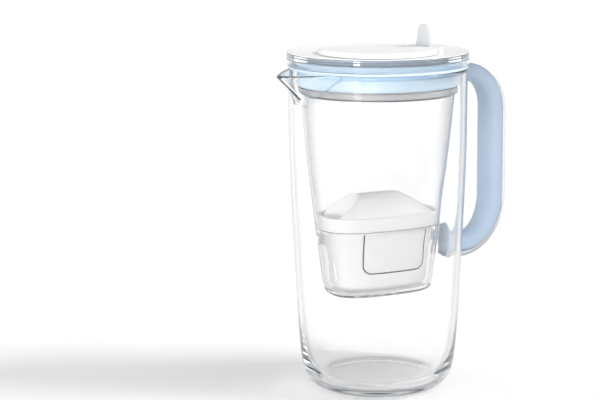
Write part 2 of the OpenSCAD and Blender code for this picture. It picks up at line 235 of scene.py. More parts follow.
def tube_obj(p0, p1, r, segs=48, name="cutter", rnd=0.0):
    """Round bar from p0 to p1 with its ends rounded by rnd."""
    p0, p1 = np.array(p0, float), np.array(p1, float)
    d = p1 - p0
    L = np.linalg.norm(d)
    d = d / L
    u = np.cross(d, (0, 0, 1.0)) if abs(d[2]) < 0.9 else np.cross(d, (1.0, 0, 0))
    u /= np.linalg.norm(u)
    w = np.cross(d, u)
    prof = [(r, 0), (r, L)]
    if rnd > 0:
        prof = [(r - rnd, 0), (r - rnd * 0.3, rnd * 0.3), (r, rnd), (r, L - rnd), (r - rnd * 0.3, L - rnd * 0.3), (r - rnd, L)]
    rings = [[p0 + d * h + (u * math.cos(t) + w * math.sin(t)) * q
              for t in np.linspace(0, 2 * math.pi, segs, endpoint=False)] for q, h in prof]
    V, F = skin(rings, pole0=p0, pole1=p1)
    return make(name, V, F, None, 40)


def boolean(ob, others, op="DIFFERENCE"):
    """Applies exact booleans and removes the tools."""
    for o in others:
        if not o.data.materials and ob.data.materials:
            o.data.materials.append(ob.data.materials[0])
        m = ob.modifiers.new("b", "BOOLEAN")
        m.operation, m.solver, m.object = op, "MANIFOLD", o
        m.material_mode = "TRANSFER"
    dg = bpy.context.evaluated_depsgraph_get()
    me = bpy.data.meshes.new_from_object(ob.evaluated_get(dg))
    old = ob.data
    ob.modifiers.clear()
    ob.data = me
    bpy.data.meshes.remove(old)
    for o in others:
        d = o.data
        bpy.data.objects.remove(o)
        bpy.data.meshes.remove(d)
    bm = bmesh.new()
    bm.from_mesh(me)
    bmesh.ops.remove_doubles(bm, verts=bm.verts, dist=2e-7)
    bmesh.ops.dissolve_degenerate(bm, edges=bm.edges, dist=1e-7)
    bm.to_mesh(me)
    bm.free()
    me.shade_smooth()
    me.set_sharp_from_angle(angle=math.radians(38))
    return ob


def weighted(ob):
    m = ob.modifiers.new("normals", "WEIGHTED_NORMAL")
    m.keep_sharp = True
    m.weight = 60


def done(ob, body, slot, *nodes):
    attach(ob, body)
    if nodes:
        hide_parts(*nodes)
    return ob


# ---------------------------------------------------------------- materials
def new_mat(name):
    m = bpy.data.materials.new(name)
    m.use_nodes = True
    nt = m.node_tree
    nt.nodes.clear()
    out = nt.nodes.new("ShaderNodeOutputMaterial")
    b = nt.nodes.new("ShaderNodeBsdfPrincipled")
    nt.links.new(b.outputs[0], out.inputs[0])
    return m, nt, b, out


def N(nt, kind, **kw):
    n = nt.nodes.new(kind)
    for k, v in kw.items():
        if k in n.bl_rna.properties:
            setattr(n, k, v)
        else:
            n.inputs[k.replace("_", " ")].default_value = v
    return n


def noise(nt, coord, scale, detail=3.0, rough=0.5, stretch=None):
    n = N(nt, "ShaderNodeTexNoise")
    n.inputs["Scale"].default_value = scale
    n.inputs["Detail"].default_value = detail
    n.inputs["Roughness"].default_value = rough
    src = coord
    if stretch:
        mp = N(nt, "ShaderNodeMapping")
        mp.inputs["Scale"].default_value = stretch
        nt.links.new(coord, mp.inputs["Vector"])
        src = mp.outputs[0]
    nt.links.new(src, n.inputs["Vector"])
    return n.outputs["Fac"]


def ramp(nt, fac, stops):
    r = N(nt, "ShaderNodeValToRGB")
    e = r.color_ramp.elements
    while len(e) < len(stops):
        e.new(0.5)
    for el, (p, c) in zip(e, stops):
        el.position = p
        el.color = (*c, 1) if len(c) == 3 else c
    nt.links.new(fac, r.inputs[0])
    return r.outputs[0]


def rng(nt, fac, lo, hi, a=0.0, b=1.0):
    r = N(nt, "ShaderNodeMapRange")
    r.inputs["From Min"].default_value = a
    r.inputs["From Max"].default_value = b
    r.inputs["To Min"].default_value = lo
    r.inputs["To Max"].default_value = hi
    nt.links.new(fac, r.inputs["Value"])
    return r.outputs[0]


def mixc(nt, fac, a, b, mode="MIX"):
    m = N(nt, "ShaderNodeMix", data_type="RGBA", blend_type=mode)
    if hasattr(fac, "links") or hasattr(fac, "is_linked"):
        nt.links.new(fac, m.inputs[0])
    else:
        m.inputs[0].default_value = fac
    for s, v in ((m.inputs[6], a), (m.inputs[7], b)):
        if isinstance(v, (tuple, list)):
            s.default_value = (*v, 1) if len(v) == 3 else v
        else:
            nt.links.new(v, s)
    return m.outputs[2]


def plastic(name, rgb, rough=0.35, var=0.04, bump=0.06, bump_scale=900.0, sss=0.0, coat=0.0,
            wear=0.05, spec=0.5, extra=None):
    """Moulded plastic: slow colour drift, satin grain, scuffs that change the gloss, paler worn edges."""
    m, nt, b, out = new_mat(name)
    L = nt.links
    co = N(nt, "ShaderNodeTexCoord").outputs["Object"]
    slow = noise(nt, co, 14.0, 3.0)
    fine = noise(nt, co, 260.0, 4.0, 0.6)
    dark = tuple(c * (1 - var) for c in rgb)
    lite = tuple(min(1.0, c * (1 + var * 0.6)) for c in rgb)
    col = ramp(nt, slow, [(0.30, dark), (0.70, lite)])
    geo = N(nt, "ShaderNodeNewGeometry")
    edge = rng(nt, geo.outputs["Pointiness"], 0.0, 1.0, 0.53, 0.62)
    scuff = rng(nt, fine, 0.0, 1.0, 0.45, 0.75)
    ew = N(nt, "ShaderNodeMath", operation="MULTIPLY")
    L.new(edge, ew.inputs[0])
    L.new(scuff, ew.inputs[1])
    ew2 = N(nt, "ShaderNodeMath", operation="MULTIPLY")
    L.new(ew.outputs[0], ew2.inputs[0])
    ew2.inputs[1].default_value = wear * 6
    col = mixc(nt, ew2.outputs[0], col, tuple(min(1.0, c * 0.5 + 0.5) for c in rgb))
    if extra:
        col = extra(nt, co, col)
    L.new(col, b.inputs["Base Color"])
    scr = noise(nt, co, 60.0, 5.0, 0.65, (1.0, 1.0, 0.12))
    mixr = N(nt, "ShaderNodeMath", operation="ADD")
    L.new(rng(nt, fine, -0.05, 0.06), mixr.inputs[0])
    L.new(rng(nt, scr, rough - 0.05, rough + 0.06), mixr.inputs[1])
    L.new(mixr.outputs[0], b.inputs["Roughness"])
    gr = noise(nt, co, bump_scale, 2.0, 0.5)
    bp = N(nt, "ShaderNodeBump")
    bp.inputs["Strength"].default_value = bump
    bp.inputs["Distance"].default_value = 0.0002
    L.new(gr, bp.inputs["Height"])
    L.new(bp.outputs[0], b.inputs["Normal"])
    b.inputs["Specular IOR Level"].default_value = spec
    b.inputs["IOR"].default_value = 1.48
    if sss:
        b.inputs["Subsurface Weight"].default_value = sss
        b.inputs["Subsurface Radius"].default_value = (0.004, 0.0045, 0.005)
        b.inputs["Subsurface Scale"].default_value = 1.0
    if coat:
        b.inputs["Coat Weight"].default_value = coat
        b.inputs["Coat Roughness"].default_value = 0.08
    return m


def clear(name, rgb=(1, 1, 1), ior=1.5, rough=0.0, density=6.0, absorb=(0.80, 0.86, 0.88), bump=0.02,
          bump_scale=22.0, shadow=0.97, edge=(0.5, 0.55, 0.6), edge_at=(0.55, 0.95), both=False, coat=0.0, trap=18.0):
    """Clear glass or plastic: faint waves and smudges, colour that deepens with thickness, and painted shade that
    darkens it towards grazing angles.
    """
    m, nt, b, out = new_mat(name)
    L = nt.links
    co = N(nt, "ShaderNodeTexCoord").outputs["Object"]
    b.inputs["Transmission Weight"].default_value = 1.0
    b.inputs["IOR"].default_value = ior
    lw = N(nt, "ShaderNodeLayerWeight")
    lw.inputs["Blend"].default_value = 0.5
    facing = lw.outputs["Facing"]
    if not both:
        geo = N(nt, "ShaderNodeNewGeometry")
        front = N(nt, "ShaderNodeMath", operation="SUBTRACT")
        front.inputs[0].default_value = 1.0
        L.new(geo.outputs["Backfacing"], front.inputs[1])
        face = N(nt, "ShaderNodeMath", operation="MULTIPLY")
        L.new(facing, face.inputs[0])
        L.new(front.outputs[0], face.inputs[1])
        facing = face.outputs[0]
    # painted shade: the base colour fades to the edge colour at grazing angles, darkening the edges of the clear piece
    L.new(ramp(nt, facing, [(edge_at[0], rgb), (edge_at[1], edge)]), b.inputs["Base Color"])
    if coat:
        b.inputs["Coat Weight"].default_value = coat
        b.inputs["Coat IOR"].default_value = 1.9
        b.inputs["Coat Roughness"].default_value = 0.03
    sm = noise(nt, co, 30.0, 4.0, 0.6, (1.0, 1.0, 0.35))
    L.new(rng(nt, sm, rough, rough + 0.03, 0.5, 0.85), b.inputs["Roughness"])
    wv = noise(nt, co, bump_scale, 2.0, 0.4, (1.0, 1.0, 0.25))
    bp = N(nt, "ShaderNodeBump")
    bp.inputs["Strength"].default_value = bump
    bp.inputs["Distance"].default_value = 0.002
    L.new(wv, bp.inputs["Height"])
    L.new(bp.outputs[0], b.inputs["Normal"])
    tr = N(nt, "ShaderNodeBsdfTransparent")
    tr.inputs["Color"].default_value = (shadow, shadow, shadow, 1)
    lp = N(nt, "ShaderNodeLightPath")
    # light that is trapped for very long inside the wall is let out instead of ending black
    deep = N(nt, "ShaderNodeMath", operation="GREATER_THAN")
    L.new(lp.outputs["Ray Depth"], deep.inputs[0])
    deep.inputs[1].default_value = trap
    way = N(nt, "ShaderNodeMath", operation="MAXIMUM")
    L.new(lp.outputs["Is Shadow Ray"], way.inputs[0])
    L.new(deep.outputs[0], way.inputs[1])
    mx = N(nt, "ShaderNodeMixShader")
    L.new(way.outputs[0], mx.inputs[0])
    L.new(b.outputs[0], mx.inputs[1])
    L.new(tr.outputs[0], mx.inputs[2])
    L.new(mx.outputs[0], out.inputs["Surface"])
    if density:
        va = N(nt, "ShaderNodeVolumeAbsorption")
        va.inputs["Color"].default_value = (*absorb, 1)
        va.inputs["Density"].default_value = density
        L.new(va.outputs[0], out.inputs["Volume"])
    return m


# the edge colours given below are painted shade that darkens each clear piece towards grazing angles
M_GLASS = clear("jug_glass_mat", ior=1.38, density=1.6, absorb=(0.42, 0.51, 0.56), edge=(0.05, 0.07, 0.09),
                edge_at=(0.66, 0.97), shadow=0.62, trap=14.0)
M_SPOUT = clear("jug_spout_mat", rgb=(0.985, 0.99, 0.995), ior=1.38, density=1.0, absorb=(0.60, 0.68, 0.74),
                edge=(0.78, 0.82, 0.86), edge_at=(0.70, 0.99), shadow=0.85, trap=8.0)
M_RIM = clear("jug_rim_mat", rgb=(0.84, 0.90, 0.96), ior=1.38, density=1.0, absorb=(0.60, 0.68, 0.74),
              edge=(0.80, 0.88, 0.94), edge_at=(0.50, 0.97), shadow=0.85, trap=9.0)
M_FUNNEL = clear("funnel_clear_mat", ior=1.49, density=5.0, absorb=(0.45, 0.48, 0.52), bump=0.03, edge=(0.12, 0.14, 0.18),
                 edge_at=(0.44, 0.94), both=True)
# the shoulder's grey tint is painted shade for the grey seen through the thick clear ring
M_SHOULDER = clear("funnel_shoulder_mat", rgb=(0.53, 0.535, 0.545), ior=1.35, density=4.0, absorb=(0.45, 0.48, 0.52),
                   bump=0.05, bump_scale=60.0, rough=0.08, edge=(0.30, 0.31, 0.33), edge_at=(0.45, 0.95))
M_RING = clear("lid_clear_mat", ior=1.18, density=3.0, absorb=(0.60, 0.66, 0.72), bump=0.02, edge=(0.80, 0.86, 0.92))
# dark tint and strong absorption: painted shade for the shaded gap under the lid behind the clear ring
M_BAND_SHADE = clear("lid_band_painted_shade_mat", rgb=(0.50, 0.57, 0.65), ior=1.49, density=30.0, absorb=(0.40, 0.50, 0.60), bump=0.02,
               edge=(0.34, 0.40, 0.47), coat=1.0)
M_STRIP = clear("handle_clear_mat", rgb=(0.89, 0.89, 0.90), ior=1.12, density=0, bump=0.006,
                rough=0.05, edge=(0.68, 0.69, 0.72), edge_at=(0.55, 0.97), shadow=0.93)
M_HANDLE = plastic("handle_blue_mat", (0.415, 0.508, 0.628), rough=0.48, var=0.03, bump=0.10, sss=0.10, wear=0.03, spec=0.35)
M_COLLAR = plastic("collar_blue_mat", (0.57, 0.70, 0.81), rough=0.22, var=0.015, bump=0.03, sss=0.30, coat=0.3, wear=0.02)
# slightly darker blue: painted shade for the groove in the lower collar
M_GROOVE_SHADE = plastic("collar_groove_shade_mat", (0.53, 0.66, 0.79), rough=0.35, var=0.02, bump=0.03, wear=0.0)
M_FLANGE = plastic("flange_blue_mat", (0.56, 0.68, 0.79), rough=0.30, var=0.02, bump=0.03, wear=0.0)
M_LID = plastic("lid_white_mat", (0.83, 0.835, 0.84), rough=0.30, var=0.012, bump=0.05, sss=0.10, wear=0.02)
M_TAB = plastic("tab_grey_mat", (0.56, 0.57, 0.58), rough=0.38, var=0.02, bump=0.08, sss=0.12, wear=0.03)
M_PIN = plastic("pin_grey_mat", (0.60, 0.61, 0.63), rough=0.30, var=0.03, bump=0.05)


M_CART = plastic("cartridge_white_mat", (0.905, 0.907, 0.912), rough=0.40, var=0.015, bump=0.10, sss=0.12, wear=0.02)


# near-black painted shade for the inside of the cartridge panel's slot
M_SLOT_SHADE = plastic("panel_slot_shade_mat", (0.035, 0.035, 0.04), rough=0.6, var=0.10, bump=0.10, wear=0.0)


def mesh_mat(name, rgb, pitch=0.0008):
    """Woven plastic mesh."""
    m, nt, b, out = new_mat(name)
    L = nt.links
    co = N(nt, "ShaderNodeTexCoord").outputs["Object"]
    sp = N(nt, "ShaderNodeSeparateXYZ")
    L.new(co, sp.inputs[0])
    waves = []
    for axis in (0, 1):
        mu = N(nt, "ShaderNodeMath", operation="MULTIPLY")
        mu.inputs[1].default_value = 2 * math.pi / pitch
        L.new(sp.outputs[axis], mu.inputs[0])
        s = N(nt, "ShaderNodeMath", operation="SINE")
        L.new(mu.outputs[0], s.inputs[0])
        waves.append(s.outputs[0])
    mxm = N(nt, "ShaderNodeMath", operation="MAXIMUM")
    L.new(waves[0], mxm.inputs[0])
    L.new(waves[1], mxm.inputs[1])
    h = rng(nt, mxm.outputs[0], 0, 1, -0.2, 0.8)
    slow = noise(nt, co, 40.0)
    base = ramp(nt, slow, [(0.3, tuple(c * 0.94 for c in rgb)), (0.7, rgb)])
    L.new(mixc(nt, h, tuple(c * 0.35 for c in rgb), base), b.inputs["Base Color"])
    L.new(rng(nt, h, 0.7, 0.45), b.inputs["Roughness"])
    bp = N(nt, "ShaderNodeBump")
    bp.inputs["Strength"].default_value = 0.6
    bp.inputs["Distance"].default_value = 0.0003
    L.new(h, bp.inputs["Height"])
    L.new(bp.outputs[0], b.inputs["Normal"])
    return m


def granule_mat(name):
    """Dark carbon grains among pale resin beads."""
    m, nt, b, out = new_mat(name)
    L = nt.links
    co = N(nt, "ShaderNodeTexCoord").outputs["Object"]
    vo = N(nt, "ShaderNodeTexVoronoi")
    vo.inputs["Scale"].default_value = 1100.0
    L.new(co, vo.inputs["Vector"])
    sep = N(nt, "ShaderNodeSeparateColor")
    L.new(vo.outputs["Color"], sep.inputs[0])
    col = ramp(nt, sep.outputs[0], [(0.0, (0.02, 0.02, 0.022)), (0.55, (0.06, 0.06, 0.065)),
                                    (0.62, (0.45, 0.33, 0.16)), (1.0, (0.62, 0.50, 0.28))])
    L.new(col, b.inputs["Base Color"])
    L.new(rng(nt, sep.outputs[1], 0.45, 0.8), b.inputs["Roughness"])
    bp = N(nt, "ShaderNodeBump")
    bp.inputs["Strength"].default_value = 0.8
    bp.inputs["Distance"].default_value = 0.0006
    bp.invert = True
    L.new(vo.outputs["Distance"], bp.inputs["Height"])
    L.new(bp.outputs[0], b.inputs["Normal"])
    return m


def film(name, rgb, alpha):
    """Thin cured bond line: nearly clear, with faint clouds and tiny bubbles."""
    m, nt, b, out = new_mat(name)
    L = nt.links
    co = N(nt, "ShaderNodeTexCoord").outputs["Object"]
    n = noise(nt, co, 160.0, 3.0)
    L.new(ramp(nt, n, [(0.35, tuple(c * 0.96 for c in rgb)), (0.65, rgb)]), b.inputs["Base Color"])
    L.new(rng(nt, n, 0.25, 0.45), b.inputs["Roughness"])
    L.new(rng(nt, n, alpha - 0.06, alpha + 0.06, 0.3, 0.7), b.inputs["Alpha"])
    bp = N(nt, "ShaderNodeBump")
    bp.inputs["Strength"].default_value = 0.15
    bp.inputs["Distance"].default_value = 0.0003
    L.new(n, bp.inputs["Height"])
    L.new(bp.outputs[0], b.inputs["Normal"])
    return m


M_BOND = film("bond_clear_mat", (0.47, 0.59, 0.71), 0.90)
M_SCREEN = mesh_mat("screen_mesh_mat", (0.80, 0.82, 0.84))
M_MEDIA = granule_mat("media_grain_mat")

# ---------------------------------------------------------------- glass jug
OUT_RZ = [(0, 0.9), (30, 0.8), (42, 0.25), (46, 0.0), (50, 0.35), (54, 2.0), (58, 5.6), (61.2, 10.8), (63.6, 18.8),
          (65.2, 29.5), (66.3, 42), (67.3, 58), (68.2, 75), (69.1, 95), (70.05, 115), (71.2, 138), (72.2, 160),
          (73.1, 185), (73.6, 205), (73.8, 225), (73.8, 240)]
IN_RZ = [(0, 6.6), (20, 6.7), (36, 7.1), (45, 8.4), (51, 11.2), (55.4, 15.6), (58.6, 22.5), (60.9, 32), (62.5, 44),
         (63.7, 58), (64.7, 75), (65.6, 95), (66.5, 115), (67.7, 138), (68.75, 160), (69.65, 185), (70.15, 205),
         (70.4, 225), (70.4, 240)]


def profile_curve(pts, n):
    """Evenly spaced points on a smooth curve through pts."""
    c = catmull(pts, 24)
    c[:, 0] = np.maximum(c[:, 0], 0)
    s = np.concatenate([[0], np.cumsum(np.hypot(np.diff(c[:, 0]), np.diff(c[:, 1])))])
    q = np.linspace(0, s[-1], n)
    return np.column_stack([np.interp(q, s, c[:, 0]), np.interp(q, s, c[:, 1])])


def softplus(x, k):
    return k * np.logaddexp(0, x / k)


def spout_shape(th, w, p=1.35, e=0.07):
    u = (th - math.pi) / w
    v = (np.sqrt(u * u + e * e) - e) / (math.sqrt(1 + e * e) - e)
    return np.clip(1 - v, 0, 1) ** p


def make_jug():
    th = np.concatenate([np.arange(0, 144, 1.8), np.arange(144, 216, 0.5), np.arange(216, 359.9, 1.8)])
    th = np.radians(th)
    out = profile_curve(OUT_RZ, 120)
    inn = profile_curve(IN_RZ, 120)
    rings = []

    def amp(z, inner):
        a = 0.945 * softplus(z - 243.6, 1.5)
        if inner:
            a = softplus(a - 1.3, 0.7) - softplus(-1.3, 0.7) * 0.9
            a = max(a, 0.0)
        return a

    def width(z, inner):
        s = min(1.0, max(0.02, (z - 239.0) / 27.0))
        w = math.radians(6.0 + 24.5 * s ** 0.85)
        return w * (0.92 if inner else 1.0)

    def drop(z):
        s = min(1.0, max(0.0, (z - 246.0) / 20.0))
        return 1.6 * s * s * (3 - 2 * s) * spout_shape(th, math.radians(27.0), 1.2, 0.3)

    def ring(r, z, inner):
        rr = r + (amp(z, inner) * spout_shape(th, width(z, inner)) if z > 236 else 0)
        zz = z - drop(z) + 0 * th
        return np.column_stack([rr * np.cos(th), rr * np.sin(th), zz])

    for r, z in out[1:]:
        rings.append(ring(r, z, False))
    for z in np.arange(241.2, 265.01, 1.2):
        rings.append(ring(73.8, z, False))
    # round rim between the outer and the inner wall
    ro = np.hypot(ring(73.8, 265.1, False)[:, 0], ring(73.8, 265.1, False)[:, 1])
    ri = np.hypot(ring(70.4, 265.1, True)[:, 0], ring(70.4, 265.1, True)[:, 1])
    zr = ring(73.8, 265.1, False)[:, 2]
    for q in np.linspace(0, math.pi, 13):
        mid, half = (ro + ri) / 2, (ro - ri) / 2
        rr = mid + half * math.cos(q)
        rings.append(np.column_stack([rr * np.cos(th), rr * np.sin(th), zr + 1.7 * math.sin(q)]))
    for z in np.arange(265.0, 241.0, -1.2):
        rings.append(ring(70.4, z, True))
    for r, z in inn[::-1][:-1]:
        rings.append(ring(r, z, True))
    V, F = skin(rings, pole0=(0, 0, OUT_RZ[0][1]), pole1=(0, 0, IN_RZ[0][1]))
    ob = make("jug_glass_body", V, F, M_GLASS, 0)
    for m_ in (M_SPOUT, M_RIM):
        ob.data.materials.append(m_)
    for f in ob.data.polygons:
        c = f.center / MM
        off = abs(math.degrees(math.atan2(c.y, -c.x)))
        if c.z > 240 and off < 8 + 26 * min(1.0, (c.z - 240) / 24):
            f.material_index = 1
        elif c.z > 263.4:
            f.material_index = 2
    return ob


jug = done(make_jug(), "jug", "jug_glass", "glass_jug")

# ---------------------------------------------------------------- handle
UP_SX, UP_SZ, LO_SX, LO_SZ = 26.0, 32.5, 31.0, 39.5


def foot_r(z):
    return np.interp(z, [90, 95, 115, 138, 160], [68.9, 69.1, 70.05, 71.2, 72.2])


def handle_stations():
    """x, z, outward normal x, z, half thickness, half width."""
    S = []

    def arm(x, z, nx, nz, a, b):
        k = math.hypot(nx, nz)
        S.append((x, z, nx / k, nz / k, a, b))
    for x in (66, 70, 74, 77, 80, 83, 86):
        arm(x, 257.5, 0, 1, 7.75, 10.6)
    for t in np.arange(0, 90.1, 3.75):
        q, f = math.radians(t), t / 90
        f = f * f * (3 - 2 * f)
        arm(89 + UP_SX * math.sin(q), 225 + UP_SZ * math.cos(q), math.sin(q) / UP_SX, math.cos(q) / UP_SZ,
            7.75 + (9.3 - 7.75) * f, 10.7 + (13.0 - 10.7) * f)
    for z in np.arange(217.5, 155, -7.5):
        arm(115, z, 1, 0, 9.3, 13.0)
    for t in np.arange(0, 90.1, 3.75):
        q, f = math.radians(t), t / 90
        f = f * f * (3 - 2 * f)
        arm(84 + LO_SX * math.cos(q), 150 - LO_SZ * math.sin(q), math.cos(q) / LO_SX, -math.sin(q) / LO_SZ,
            9.3 + (8.7 - 9.3) * f, 13.0 + (10.3 - 13.0) * f)
    for x, z, a, b in ((82, 110.6, 8.9, 10.1), (80, 110.9, 9.4, 9.9), (78, 111.4, 10.4, 9.75), (76, 112.2, 11.8, 9.6),
                       (74, 113.2, 13.3, 9.5), (72, 114.0, 14.5, 9.4), (70, 114.3, 14.9, 9.4), (66, 114.3, 15.0, 9.4)):
        arm(x, z, 0, -1, a, b)
    return np.array(S)


HS = handle_stations()
HN = 2.25


def section(s, a, b, t):
    px, py = sel(a, b, HN, t)
    return np.column_stack([s[0] + px * s[2], py, s[1] + px * s[3]])


def make_handle():
    M = 72
    t = oval_t(9, 12, HN, M)
    rings = []
    for i, s in enumerate(HS):
        rings.append(section(s, s[4], s[5], t))
    rings = np.array(rings)
    # the upper end is cut to the neck's cylinder, the lower end to the wall's cone
    top = rings[:7].copy()
    for i in range(7):
        y = np.clip(top[i][:, 1], -30, 30)
        x_end = np.sqrt(74.4**2 - y**2)
        d = [0.0, 0.35, 1.0, 2.4, 5.0, 8.0, 11.5][i]
        rings[i][:, 0] = x_end + d
        if i < 2:
            c = np.array([0, 0, 257.5])
            k = (0.955, 0.988)[i]
            rings[i][:, 1] *= k
            rings[i][:, 2] = c[2] + (rings[i][:, 2] - c[2]) * k
    n = len(rings)
    for j in range(8):
        i = n - 1 - j
        src = rings[n - 1 - j].copy()
        d = [0.0, 0.35, 1.0, 2.2, 4.2, 6.6, 9.0, 11.0][j]
        z = src[:, 2]
        x_end = np.sqrt(np.maximum((foot_r(z) + 0.6) ** 2 - src[:, 1] ** 2, 1))
        blend = [1, 1, 1, 0.9, 0.7, 0.45, 0.2, 0.05][j]
        rings[i][:, 0] = (x_end + d) * blend + (1 - blend) * (src[:, 0])
        if j < 2:
            k = (0.965, 0.99)[j]
            rings[i][:, 1] *= k
            rings[i][:, 2] = 114.3 + (rings[i][:, 2] - 114.3) * k
    # smooth the last stations so that the foot flows out of the arm
    V, F = skin(rings)
    c0, c1 = rings[0].mean(0), rings[-1].mean(0)
    c0[0], c1[0] = 74.4, float(foot_r(114.3)) + 0.6
    V.append(c0)
    V.append(c1)
    a, b = len(V) - 2, len(V) - 1
    M_ = rings.shape[1]
    for m in range(M_):
        F.append((m, (m + 1) % M_, a))
        F.append(((n - 1) * M_ + m, (n - 1) * M_ + (m + 1) % M_, b))
    return make("handle_grip", V, F, M_HANDLE, 45)


handle = done(make_handle(), "jug", "handle_blue", "handle_core")


def make_strip():
    """Clear crescent along the outside of the handle."""
    # stations from the middle of the upper bend to the foot
    i0 = 7 + 12
    i1 = len(HS) - 5
    st = HS[i0:i1 + 1]
    h = 30
    rings = []
    n = len(st)
    for i, s in enumerate(st):
        q = i / (n - 1)
        ease = 1 - (1 - min(1, i / 10)) ** 2.0
        end = 1 - (1 - min(1, (n - 1 - i) / 4)) ** 2.5
        w = 3.6 * max(0.01, ease) * (0.72 + 0.28 * end)
        tt = np.radians(np.linspace(-62, 62, h + 1))
        prof_o, prof_i = [], []
        for t in tt:
            lens = max(0.0, math.cos(t * 90 / 62)) ** 0.8
            px, py = sel(s[4] + 0.16 + w * lens, s[5] + 0.16 + 0.30 * ease * lens, HN, np.array([t]))
            prof_o.append((s[0] + px[0] * s[2], py[0], s[1] + px[0] * s[3]))
        for t in tt[::-1][1:-1]:
            px, py = sel(s[4] + 0.08, s[5] + 0.08, HN, np.array([t]))
            prof_i.append((s[0] + px[0] * s[2], py[0], s[1] + px[0] * s[3]))
        rings.append(np.array(prof_o + prof_i))
    V, F = skin(rings)
    M = len(rings[0])
    for k in (0, len(rings) - 1):
        # cap between the outer and the inner curve
        for j in range(h // 1):
            o0, o1 = j, j + 1
            i0_ = (M - j) % M if j > 0 else 0
            i1_ = M - (j + 1) if j + 1 < h else h
            idx = [k * M + o0, k * M + o1]
            if j + 1 < h:
                idx.append(k * M + i1_)
            if j > 0:
                idx.append(k * M + i0_)
            if len(set(idx)) >= 3:
                F.append(tuple(dict.fromkeys(idx)))
    return make("handle_clear_strip", V, F, M_STRIP, 50)


strip = done(make_strip(), "jug", "handle_clear", "handle_strip")

# ---------------------------------------------------------------- funnel
BOWL = np.array([  # z, half length, half width, exponent
    [84.0, 45.4, 27.4, 2.9], [88, 46.4, 28.3, 2.85], [92, 47.2, 28.9, 2.8], [104.5, 48.9, 30.0, 2.75],
    [122, 51.4, 31.8, 2.7], [140, 53.7, 33.6, 2.65], [158, 55.6, 37.2, 2.5], [176, 57.8, 42.6, 2.35],
    [198, 60.1, 49.4, 2.2], [219, 61.9, 56.2, 2.08], [236, 62.9, 61.0, 2.02], [243, 63.4, 63.0, 2.0]])


def oval_rings(st, M=256, tfun=None):
    """Rings from rows (a, b, n, z)."""
    out = []
    for a, b, n, z in st:
        t = oval_t(a, b, n, M) if tfun is None else tfun
        x, y = sel(a, b, n, t)
        out.append(np.column_stack([x, y, np.full(M, z)]))
    return out


def make_funnel():
    st = []
    # underside, from the middle out, with a round edge
    for f in (0.25, 0.5, 0.75, 0.9):
        st.append((41.5 * f, 23.6 * f, 2.9, 79.7))
    for q in np.linspace(0, 90, 9):
        s, c = math.sin(math.radians(q)), math.cos(math.radians(q))
        st.append((41.5 + 3.9 * s, 23.6 + 3.8 * s, 2.9, 84.0 - 4.3 * c))
    zs = np.concatenate([np.arange(86, 240, 3.0)])
    for row, z in zip(pchip(BOWL[:, 0], BOWL[:, 1:], zs), zs):
        st.append((row[0], row[1], row[2], z))
    circ = fillet([(63.4, 243.5, 0), (63.4, 246.2, 0.8), (65.8, 247.3, 1.0), (65.8, 252.7, 0.6), (63.4, 253.0, 0.2),
                   (63.4, 267.1, 0.3), (74.2, 267.1, 0.5), (74.2, 269.1, 0.7), (63.4, 269.1, 0.2), (63.4, 273.9, 0.6),
                   (61.2, 273.9, 0.6), (61.2, 246, 0)], 4, closed=False)
    circ = densify(circ, 6.0, closed=False)
    for r, z in circ:
        st.append((r, r, 2.0, z))
    T = 2.2
    zi = np.concatenate([np.arange(240, 141, -3.0)])
    for row, z in zip(pchip(BOWL[:, 0], BOWL[:, 1:], zi), zi):
        st.append((row[0] - T, row[1] - T, row[2], z))
    seat = fillet([(0, 140.5, 0), (0.5, 135.4, 0.5), (3.5, 135.1, 0.6), (3.7, 131, 1.5), (0, 122, 3)], 4, closed=False)
    for d, z in seat:
        row = pchip(BOWL[:, 0], BOWL[:, 1:], [max(z, 84)])[0]
        ref = pchip(BOWL[:, 0], BOWL[:, 1:], [140.0])[0]
        k = min(1.0, max(0.0, (z - 122) / 9.0))
        a = row[0] * (1 - k) + (ref[0]) * k
        b = row[1] * (1 - k) + (ref[1]) * k
        st.append((a - T - d, b - T - d, row[2], z))
    for z in np.arange(119, 87, -3.0):
        row = pchip(BOWL[:, 0], BOWL[:, 1:], [z])[0]
        st.append((row[0] - T, row[1] - T, row[2], z))
    for q in np.linspace(90, 0, 8):
        s, c = math.sin(math.radians(q)), math.cos(math.radians(q))
        st.append((40.0 + 3.6 * s, 22.0 + 3.6 * s, 2.9, 86.0 - 4.0 * c))
    for f in (0.9, 0.75, 0.5, 0.25):
        st.append((40.0 * f, 22.0 * f, 2.9, 82.0))
    rings = turned(oval_rings(st, 240))
    V, F = skin(rings, pole0=(0, 0, 79.7), pole1=(0, 0, 82.0))
    ob = make("funnel_clear_body", V, F, M_FUNNEL, 60)
    cuts = []
    for x in (-20, -10, 0, 10, 20):
        p = turned(np.array([[x, 0, 70.0], [x, 0, 90.0]]))
        cuts.append(tube_obj(p[0], p[1], 2.6, 40))
    boolean(ob, cuts)
    # the soft blue of the collars runs on over the flange between them; the shoulder is slightly frosted, with a grey
    # tint that is painted shade for the grey its thick clear ring shows
    ob.data.materials.clear()
    for m_ in (M_FUNNEL, M_FLANGE, M_SHOULDER):
        ob.data.materials.append(m_)
    for f in ob.data.polygons:
        c = f.center / MM
        r = math.hypot(c.x, c.y)
        f.material_index = 1 if r > 63.3 and c.z > 266.6 and c.z < 269.4 else (
            2 if r > 60.5 and 246.6 < c.z < 253.1 else 0)
    return ob


funnel = done(make_funnel(), "funnel", "funnel_clear", "funnel")

lower = revolve("collar_lower_ring", densify(fillet(
    [(63.5, 253.2, 0.2), (66.1, 253.2, 0.7), (66.9, 255.2, 1.5), (67.0, 258.5, 3), (66.7, 262.4, 1.0), (65.6, 263.4, 0.35),
     (65.5, 264.1, 0.3), (66.6, 264.5, 0.5), (67.0, 265.6, 0.7), (66.9, 266.9, 0.4), (63.5, 266.9, 0.2)], 5), 3), M_COLLAR, 288)
